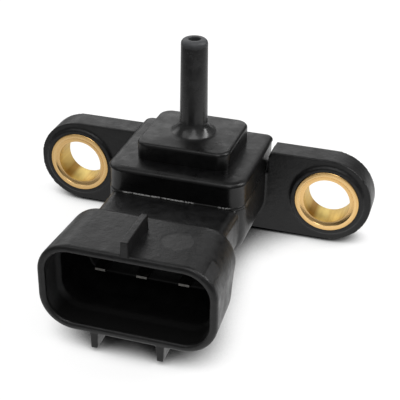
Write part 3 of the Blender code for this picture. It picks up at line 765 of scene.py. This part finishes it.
def mix_shaders(tree, share, first, second):
    node = tree.nodes.new("ShaderNodeMixShader")
    for output, socket in zip((share, first, second), node.inputs):
        tree.links.new(output, socket)
    return node.outputs["Shader"]


def bump(tree, height, strength, distance, normal=None):
    node = tree.nodes.new("ShaderNodeBump")
    node.inputs["Strength"].default_value = strength
    node.inputs["Distance"].default_value = distance
    tree.links.new(height, node.inputs["Height"])
    if normal:
        tree.links.new(normal, node.inputs["Normal"])
    return node.outputs["Normal"]


# Plastic, brass and the other looks; textures are given as scale, detail and roughness

CLOUDS = (520.0, 6.0, 0.68)
SKIN_GRAIN = (1000.0, 4.0, 0.65)
SKIN_DEPTH = 0.08 * MM
FINE_GRAIN = (5200.0, 2.0, 0.5)
FINE_DEPTH = 0.008 * MM
FINE_SHARE = 0.7                 # strength of the fine grain over that of the skin
GLOSSY_CLOUD, DULL_CLOUD = -0.10, 0.12
SPOT_COLOUR = (0.022, 0.022, 0.022, 1.0)
SPOT_INSIDE, SPOT_OUTSIDE = -0.4 * MM, 0.15 * MM
# Painted highlight along the front seam: stretches, fade, depth and breaks of a glint painted into the
# bead's colour
GLINT_SPANS = ((-7.4 * MM, 3.1 * MM, 1.0), (6.7 * MM, 8.1 * MM, 0.8))   # left, right, strength
GLINT_FADE = 0.3 * MM
GLINT_BACK = (0.5 * MM, 1.0 * MM)
GLINT_SINK = 0.1 * MM
GLINT_BREAKS = (2600.0, 3.0, 0.6)
GLINT_BROKEN = (0.0, 1.0, 0.42, 0.52)
SEAM_DARK = (0.004, 0.004, 0.004)
SEAM_GLINT = (0.34, 0.34, 0.335)
FINE_RINGS = (14000.0, 3.0, 0.7)
BROAD_RINGS = (3200.0, 3.0, 0.6)
BORE_LINES = (9.0, 3.0, 0.6)
FINE_RING_BUMP = (0.4, 0.006 * MM)       # strength and depth
BROAD_RING_BUMP = (0.8, 0.02 * MM)
LINE_REACH = (-0.25, 0.25)
STREAK_SPAN = (0.0, 1.0, -0.8, 1.0)
BORE_EDGE = (0.01 * MM, 0.05 * MM)
FACE_TINTS = ((0.72, 0.44, 0.16), (0.88, 0.60, 0.28))
BORE_TINTS = ((0.56, 0.32, 0.07), (1.0, 0.78, 0.27))
# Painted highlight (first) and painted shade (second): bright and dark streaks painted into the bore's
# colour
BORE_HIGHLIGHT = (12, 0.14, 0.34)      # streaks in the bore: turn in degrees, full width, faded width
BORE_SHADE = (40, 0.06, 0.24)
BRASS_GLOSS = (0.20, 0.36)
BORE_ROUGHER = 0.22
PLAIN_CLOUDS = (4.0, 0.6)
PLAIN_GRAIN = (2.0, 0.55)
PLAIN_GRAIN_FINER = 9
PLAIN_GLOSS = (-0.05, 0.07)
PLAIN_BUMP = (0.15, 0.01 * MM)


def moulded(name, dark, pale, roughness, grain, ior):
    """Glass-filled moulded plastic: near black, with faint flow clouds and a fine skin texture."""
    made, tree, shader = graph_of(name)
    place = place_of(tree)
    clouds = noise(tree, place, *CLOUDS)
    colour = tint(tree, spread(tree, clouds, 0.0, 1.0), dark, pale)
    rough = spread(tree, clouds, roughness + GLOSSY_CLOUD, roughness + DULL_CLOUD)
    skin_bump = bump(tree, noise(tree, place, *SKIN_GRAIN), grain, SKIN_DEPTH)
    fine_bump = bump(tree, noise(tree, place, *FINE_GRAIN), grain * FINE_SHARE, FINE_DEPTH, skin_bump)
    tree.links.new(colour, shader.inputs["Base Color"])
    tree.links.new(rough, shader.inputs["Roughness"])
    tree.links.new(fine_bump, shader.inputs["Normal"])
    shader.inputs["IOR"].default_value = ior
    return made


def alter_input(made, name, kind, share, value):
    """Turn one linked input of a material's shader into the given value, by its share."""
    tree = made.node_tree
    socket = tree.nodes["Principled BSDF"].inputs[name]
    old = socket.links[0].from_socket
    tree.links.new(mix(tree, kind, share, old, value), socket)


def paler_spot(made, centre, radius):
    """Lighter disc round a point of the surface, where an ejector pin touched the moulding."""
    tree = made.node_tree
    away = distance_to(tree, place_of(tree), centre)
    inside = spread(tree, away, 1.0, 0.0, radius + SPOT_INSIDE, radius + SPOT_OUTSIDE)
    alter_input(made, "Base Color", "RGBA", inside, SPOT_COLOUR)


def by_height(made, first, last, colour, roughness):
    """Change colour and roughness between two heights, the first of which keeps the old ones."""
    tree = made.node_tree
    share = spread(tree, axes(tree, place_of(tree))["Z"], 0.0, 1.0, first, last)
    alter_input(made, "Base Color", "RGBA", share, (*colour, 1.0))
    alter_input(made, "Roughness", "FLOAT", share, roughness)


def painted_seam_glint(made, spans):
    """Painted highlight: a whitish broken line along the given stretches of the front seam, a glint
    painted into the bead's colour.
    """
    tree = made.node_tree
    place = place_of(tree)
    at = axes(tree, place)
    shares = []
    for low, high, strength in spans:
        middle, reach = (low + high) / 2, (high - low) / 2
        offset = arithmetic(tree, "ABSOLUTE", arithmetic(tree, "SUBTRACT", at["X"], middle))
        shares.append(spread(tree, offset, strength, 0.0, reach - GLINT_FADE, reach + GLINT_FADE))
    front_y = PORT_Y - CASE_FRONT
    front = spread(tree, at["Y"], 1.0, 0.0, front_y + GLINT_BACK[0], front_y + GLINT_BACK[1])
    above = spread(tree, at["Z"], 0.0, 1.0, SEAM_Z - GLINT_SINK, SEAM_Z)
    broken = spread(tree, noise(tree, place, *GLINT_BREAKS), *GLINT_BROKEN)
    along = arithmetic(tree, "ADD", *shares)
    share = product(tree, product(tree, along, product(tree, front, above)), broken)
    colour = tint(tree, share, SEAM_DARK, SEAM_GLINT)
    tree.links.new(colour, tree.nodes["Principled BSDF"].inputs["Base Color"])


def painted_bore_streak(tree, direction, turn, full, faded):
    """Share of a lengthwise streak in a bore, turned from its lowest line towards the left; it places the
    painted highlight and the painted shade in the bore.
    """
    angle = math.radians(turn)
    away = distance_to(tree, direction, (-math.sin(angle), -math.cos(angle), 0.0))
    return spread(tree, away, 1.0, 0.0, full, faded)


def turned_brass(name, centre_x):
    """Brass with the fine rings that a lathe tool leaves, and a bore with lengthwise streaks, among them
    a painted highlight and a painted shade.
    """
    made, tree, shader = graph_of(name)
    at = axes(tree, place_of(tree))
    across = arithmetic(tree, "SUBTRACT", at["X"], centre_x)
    above = arithmetic(tree, "SUBTRACT", at["Z"], EAR_Z)
    square = arithmetic(tree, "ADD", product(tree, across, across), product(tree, above, above))
    radius = arithmetic(tree, "SQRT", square)
    ring_place = vector_of(tree, radius, at["Y"])
    unit_x = arithmetic(tree, "DIVIDE", across, radius)
    unit_z = arithmetic(tree, "DIVIDE", above, radius)
    direction = vector_of(tree, unit_x, unit_z)
    fine_rings = noise(tree, ring_place, *FINE_RINGS)
    broad_rings = noise(tree, ring_place, *BROAD_RINGS)
    lines = spread(tree, noise(tree, direction, *BORE_LINES), *LINE_REACH)
    # Painted highlight near the bore's lowest line, painted shade further round
    bright_streak = painted_bore_streak(tree, direction, *BORE_HIGHLIGHT)
    dark_streak = painted_bore_streak(tree, direction, *BORE_SHADE)
    streaks = arithmetic(tree, "ADD", arithmetic(tree, "SUBTRACT", bright_streak, dark_streak), lines)
    face_tint = tint(tree, spread(tree, broad_rings, 0.0, 1.0), *FACE_TINTS)
    bore_tint = tint(tree, spread(tree, streaks, *STREAK_SPAN), *BORE_TINTS)
    bored = spread(tree, radius, 1.0, 0.0, BUSH_BORE + BORE_EDGE[0], BUSH_BORE + BORE_EDGE[1])
    colour = mix(tree, "RGBA", bored, face_tint, bore_tint)
    ring_gloss = spread(tree, fine_rings, *BRASS_GLOSS)
    rough = arithmetic(tree, "ADD", ring_gloss, product(tree, bored, BORE_ROUGHER))
    broad_bump = bump(tree, broad_rings, *BROAD_RING_BUMP)
    fine_bump = bump(tree, fine_rings, *FINE_RING_BUMP, broad_bump)
    tree.links.new(colour, shader.inputs["Base Color"])
    tree.links.new(rough, shader.inputs["Roughness"])
    tree.links.new(fine_bump, shader.inputs["Normal"])
    shader.inputs["Metallic"].default_value = 1.0
    return made


def simple(name, first, second, roughness, scale, metallic=0.0):
    """Even material with a little variation in colour, gloss and surface."""
    made, tree, shader = graph_of(name)
    place = place_of(tree)
    clouds = noise(tree, place, scale, *PLAIN_CLOUDS)
    grain = noise(tree, place, scale * PLAIN_GRAIN_FINER, *PLAIN_GRAIN)
    rough = spread(tree, clouds, roughness + PLAIN_GLOSS[0], roughness + PLAIN_GLOSS[1])
    tree.links.new(tint(tree, spread(tree, clouds, 0.0, 1.0), first, second), shader.inputs["Base Color"])
    tree.links.new(rough, shader.inputs["Roughness"])
    tree.links.new(bump(tree, grain, *PLAIN_BUMP), shader.inputs["Normal"])
    shader.inputs["Metallic"].default_value = metallic
    return made


# The dressed pieces

# Painted highlight: the port's tip is painted paler and duller, standing in for light on its rounded end
TIP_SHEEN_SPAN = (TIP_Z - 1.1 * MM, TIP_Z - 0.4 * MM)
TIP_SHEEN_COLOUR = (0.060, 0.062, 0.066)
TIP_ROUGHNESS = 0.5
# Painted light and shade in the socket's mouth: its walls painted paler where light reaches in, darker
# towards the bottom as painted shade
MOUTH_SHADE_SPAN = (GUARD_RIB_HEIGHT + 3.6 * MM, GUARD_RIB_HEIGHT + 2.0 * MM)
MOUTH_SHADE_COLOUR = (0.003, 0.003, 0.003)
MOUTH_ROUGHNESS = 0.8
LEDGE_Y = PORT_Y + RIM_Y + MOUTH_DEPTH + LEDGE_LENGTH
MOUTH_LOW = Vector((-SOCKET_WIDTH / 2, PORT_Y + RIM_Y + RIM_ROUND, GUARD_RIB_HEIGHT)) + MOUTH_FRAME
MOUTH_HIGH = Vector((SOCKET_WIDTH / 2, LEDGE_Y, SOCKET_TOP)) - MOUTH_FRAME


def dress(made, material, slot_name, *nodes):
    made.data.materials.clear()
    made.data.materials.append(material)
    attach(made, "root")
    if nodes:
        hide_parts(*nodes)


def in_mouth(centre):
    return all(low < at < high for low, at, high in zip(MOUTH_LOW, centre, MOUTH_HIGH))


def over_step(centre):
    return centre.z > STEP_Z + GLOSSY_RISE


def second_look(made, material, chosen):
    """Give another material to the faces whose centres are chosen."""
    made.data.materials.append(material)
    for face in made.data.polygons:
        if chosen(face.center):
            face.material_index = 1


case_look = moulded("case_look", (0.0035, 0.0035, 0.0036), (0.0095, 0.0095, 0.0098), 0.38, 0.9, 1.41)
cover_look = moulded("cover_look", (0.0014, 0.0014, 0.0015), (0.0036, 0.0036, 0.0037), 0.34, 0.4, 1.41)
# Port material: a glossier copy of the lid's resin, painted several times paler as painted light on the
# port
port_glossy_lit_look = moulded("port_glossy_lit_look", (0.0120, 0.0120, 0.0122), (0.0240, 0.0240, 0.0243), 0.22, 0.3, 1.45)
# Mouth material: a paler, rougher copy of the resin; the paleness is painted light, the roughness a matte
# skin
mouth_lit_and_shaded_look = moulded("mouth_lit_and_shaded_look", (0.0240, 0.0240, 0.0244), (0.0400, 0.0400, 0.0406), 0.55, 0.4, 1.27)
# Tin painted far darker than bare tin, as painted shade on the blade tips deep in the socket
shaded_tin_look = simple("shaded_tin_look", (0.08, 0.078, 0.075), (0.22, 0.215, 0.20), 0.42, 2400.0, 1.0)
sealant_look = simple("sealant_look", (0.004, 0.004, 0.004), (0.008, 0.008, 0.008), 0.14, 700.0)
# The bead's material carries a painted highlight, a broken pale glint along the front seam
bead_glint_look = simple("bead_glint_look", (0.004, 0.004, 0.004), (0.008, 0.008, 0.008), 0.30, 700.0)
carrier_look = simple("carrier_look", (0.030, 0.030, 0.032), (0.045, 0.045, 0.048), 0.45, 900.0)
glass_look = simple("glass_look", (0.62, 0.68, 0.66), (0.70, 0.76, 0.74), 0.12, 900.0)
silicon_look = simple("silicon_look", (0.13, 0.14, 0.17), (0.19, 0.20, 0.24), 0.14, 2500.0, 0.6)
gold_look = simple("gold_look", (0.86, 0.62, 0.22), (0.93, 0.72, 0.30), 0.20, 3000.0, 1.0)
ceramic_look = simple("ceramic_look", (0.55, 0.46, 0.34), (0.64, 0.55, 0.42), 0.42, 1500.0)

paler_spot(case_look, (MARK_OFFSET, PORT_Y + RIM_Y + MARK_SETBACK, SOCKET_TOP - MARK_DEPTH), MARK_RADIUS)
# Painted highlight: a paler, duller port tip
by_height(port_glossy_lit_look, *TIP_SHEEN_SPAN, TIP_SHEEN_COLOUR, TIP_ROUGHNESS)
# Painted shade: the mouth turns darker and rougher towards its bottom
by_height(mouth_lit_and_shaded_look, *MOUTH_SHADE_SPAN, MOUTH_SHADE_COLOUR, MOUTH_ROUGHNESS)
# Painted highlight: a broken pale glint painted along the front seam
painted_seam_glint(bead_glint_look, GLINT_SPANS)

case = case_shell()
dress(case, case_look, "black_resin", "connector_case")
second_look(case, mouth_lit_and_shaded_look, in_mouth)
cover = cover_shell()
dress(cover, cover_look, "cover_resin", "port_cover")
# The port above the step gets the glossier resin, painted paler as painted light
second_look(cover, port_glossy_lit_look, over_step)
for hand, side in (("left", -1), ("right", 1)):
    brass_look = turned_brass(f"{hand}_brass_look", side * HOLE_SPACING / 2)
    dress(bush_shell(f"{hand}_bush_shell", side), brass_look, "brass", f"{hand}_bush")
dress(seam_bead(), bead_glint_look, "sealant")

CAD_LOOKS = {
    "adhesive_seal": sealant_look, "sensor_package": carrier_look, "package_bond": sealant_look,
    "glass_pedestal": glass_look, "silicon_die": silicon_look,
    "supply_capacitor": ceramic_look, "signal_capacitor": ceramic_look,
}
for role in ("supply", "signal", "ground"):
    CAD_LOOKS[f"{role}_terminal"] = shaded_tin_look
    CAD_LOOKS[f"{role}_lead"] = shaded_tin_look
    CAD_LOOKS[f"{role}_wire"] = gold_look
for name, look in CAD_LOOKS.items():
    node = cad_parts[name]
    for socket in node.material_slots:
        socket.material = look
    if name.endswith("_terminal"):
        soften(node, BLADE_EDGE, BLADE_STEPS)


# Floor under the guard ribs' feet and the ears

FEET_Y = PORT_Y + RIM_Y + RIB_SETBACK + RIB_LENGTH - (GUARD_RIB_HEIGHT + RIB_ROOT) / 2
EAR_FOOT_Z = EAR_Z - EAR_RADIUS
EAR_FOOT_Y = PORT_Y + EAR_BACK
FLOOR_REACH = 3.0
FLOOR_SINK = 0.02 * MM
FLOOR_COLOUR = (0.85, 0.85, 0.85, 1.0)
SEEN_GLOW = 0.85                 # share of white that the seen floor has without any light
SEEN_SHADE = 0.24                # share that the light and the object's shadow decide
SHADE_REACH = 8.0 * MM           # height over which the object darkens the floor under it
SHADE_SAMPLES = 16
SHADE_SPAN = (0.0, 1.0, 0.16, 0.74)
# The floor that the object mirrors is lit less towards its left and far away
LIT_ACROSS = (0.7, 1.0, -25.0 * MM, 15.0 * MM)
LIT_AWAY = (1.0, 0.1, 60.0 * MM, 130.0 * MM)


def floor_look():
    """Near-white ground that darkens under the object and is clear when seen from below."""
    made = bpy.data.materials.new("floor_look")
    made.use_nodes = True
    tree = made.node_tree
    tree.nodes.clear()
    rays = tree.nodes.new("ShaderNodeLightPath").outputs
    ground = place_of(tree)
    across = spread(tree, axes(tree, ground)["X"], *LIT_ACROSS)
    away = spread(tree, distance_to(tree, ground, (0.0, 0.0, 0.0)), *LIT_AWAY)
    reach = tree.nodes.new("ShaderNodeAmbientOcclusion")
    reach.inputs["Distance"].default_value = SHADE_REACH
    reach.samples = SHADE_SAMPLES
    shadow = spread(tree, reach.outputs["AO"], *SHADE_SPAN)
    shadow.node.interpolation_type = "SMOOTHSTEP"
    level = mix(tree, "FLOAT", rays["Is Camera Ray"], product(tree, across, away), shadow)
    pale = tree.nodes.new("ShaderNodeBsdfDiffuse")
    pale.inputs["Color"].default_value = FLOOR_COLOUR
    shade = tree.nodes.new("ShaderNodeBsdfDiffuse")
    glow = tree.nodes.new("ShaderNodeEmission")
    tree.links.new(product(tree, level, SEEN_SHADE), shade.inputs["Color"])
    tree.links.new(product(tree, level, SEEN_GLOW), glow.inputs["Strength"])
    both = tree.nodes.new("ShaderNodeAddShader")
    tree.links.new(shade.outputs["BSDF"], both.inputs[0])
    tree.links.new(glow.outputs["Emission"], both.inputs[1])
    seen = arithmetic(tree, "MAXIMUM", rays["Is Camera Ray"], rays["Is Glossy Ray"])
    ground_shader = mix_shaders(tree, seen, pale.outputs["BSDF"], both.outputs["Shader"])
    clear = tree.nodes.new("ShaderNodeBsdfTransparent").outputs["BSDF"]
    facing = tree.nodes.new("ShaderNodeNewGeometry").outputs["Backfacing"]
    from_below = product(tree, facing, rays["Is Camera Ray"])
    result = tree.nodes.new("ShaderNodeOutputMaterial")
    tree.links.new(mix_shaders(tree, from_below, ground_shader, clear), result.inputs["Surface"])
    return made


floor_corners = [(x * FLOOR_REACH, y * FLOOR_REACH, 0.0) for x, y in ((-1, -1), (1, -1), (1, 1), (-1, 1))]
floor_mesh = bpy.data.meshes.new("floor")
floor_mesh.from_pydata(floor_corners, [], [(0, 1, 2, 3)])
floor_mesh.materials.append(floor_look())
floor = bpy.data.objects.new("floor", floor_mesh)
bpy.context.scene.collection.objects.link(floor)
floor.location = (0.0, FEET_Y, -FLOOR_SINK)
floor.rotation_euler = (math.atan2(EAR_FOOT_Z, EAR_FOOT_Y - FEET_Y), 0.0, 0.0)


# Room, lamps and camera; a direction's X, Y and Z run from -1 to 1

OPENING = (1.8, 0.28, -0.44, -0.31)      # high backdrop over X, open at its left
BACKDROP = (2.6, 0.2, 0.0, 0.35)         # low backdrop over X
LOW_SKY = (0.15, 1.0, 0.15, 0.38)        # share of the low backdrop over Z
HIGH_START = (0.0, 1.0, 0.455, 0.505)    # where over Z the high backdrop takes over
BEHIND_START = (0.0, 1.0, 0.0, 0.35)     # where over Y the backdrop takes over from the room in front
FRONT_LEVEL = 0.3
LAMP_AIM = Vector((0.0, 0.0, 0.01))
AZIMUTH, ELEVATION, ROLL = math.radians(17.119), math.radians(29.333), math.radians(0.856)
DISTANCE = 0.149915
TARGET = Vector((0.001123, 0.009825, 0.008543))
FOCAL_LENGTH = 90.654
SENSOR_WIDTH = 36.0
CLIP_START = 0.005


def light_room():
    """White backdrop for the camera; what the object mirrors is open upper left and dimmer in front."""
    world = bpy.data.worlds.new("studio")
    world.use_nodes = True
    bpy.context.scene.world = world
    tree = world.node_tree
    tree.nodes.clear()
    rays = tree.nodes.new("ShaderNodeLightPath").outputs
    direction = axes(tree, tree.nodes.new("ShaderNodeTexCoord").outputs["Generated"])
    low_share = spread(tree, direction["Z"], *LOW_SKY)
    low_backdrop = product(tree, spread(tree, direction["X"], *BACKDROP), low_share)
    high_share = spread(tree, direction["Z"], *HIGH_START)
    backdrop = mix(tree, "FLOAT", high_share, low_backdrop, spread(tree, direction["X"], *OPENING))
    level = mix(tree, "FLOAT", spread(tree, direction["Y"], *BEHIND_START), FRONT_LEVEL, backdrop)
    room = tree.nodes.new("ShaderNodeBackground")
    tree.links.new(level, room.inputs["Strength"])
    white = tree.nodes.new("ShaderNodeBackground").outputs["Background"]
    result = tree.nodes.new("ShaderNodeOutputWorld")
    whole = mix_shaders(tree, rays["Is Camera Ray"], room.outputs["Background"], white)
    tree.links.new(whole, result.inputs["Surface"])


def soft_box(name, azimuth, elevation, distance, width, height, brightness):
    """Soft box turned to the object, whose face has the given brightness, 1 being white."""
    turn = math.radians(azimuth)
    rise = math.radians(elevation)
    away = Vector((math.sin(turn) * math.cos(rise), -math.cos(turn) * math.cos(rise), math.sin(rise)))
    light = bpy.data.lights.new(name, "AREA")
    light.shape = "RECTANGLE"
    light.size = width
    light.size_y = height
    light.energy = brightness * math.pi * width * height
    made = bpy.data.objects.new(name, light)
    made.location = LAMP_AIM + away * distance
    made.rotation_euler = away.to_track_quat("Z", "Y").to_euler()
    made.visible_camera = False
    bpy.context.scene.collection.objects.link(made)


def set_camera():
    """Camera that looks at the target from the given side, height and distance, rolled a little."""
    across = Vector((math.cos(AZIMUTH), math.sin(AZIMUTH), 0.0))
    back_x = math.sin(AZIMUTH) * math.cos(ELEVATION)
    back_y = -math.cos(AZIMUTH) * math.cos(ELEVATION)
    back = Vector((back_x, back_y, math.sin(ELEVATION)))
    up = back.cross(across)
    rolled_x = across * math.cos(ROLL) + up * math.sin(ROLL)
    rolled_y = up * math.cos(ROLL) - across * math.sin(ROLL)
    turn = Matrix((rolled_x, rolled_y, back)).transposed().to_4x4()
    data = bpy.data.cameras.new("camera")
    data.lens = FOCAL_LENGTH
    data.sensor_width = SENSOR_WIDTH
    data.clip_start = CLIP_START
    camera = bpy.data.objects.new("camera", data)
    camera.matrix_world = Matrix.Translation(TARGET + back * DISTANCE) @ turn
    bpy.context.scene.collection.objects.link(camera)
    bpy.context.scene.camera = camera


light_room()
soft_box("left_box", -48, 52, 0.5, 0.24, 0.22, 1.3)
soft_box("right_box", 112, 42, 0.5, 0.14, 0.34, 7.5)
soft_box("front_box", 20, 50, 0.5, 0.14, 0.26, 3.0)
soft_box("top_box", 20, 74, 0.5, 0.30, 0.16, 3.0)
set_camera()
bpy.context.scene.view_settings.view_transform = "Standard"
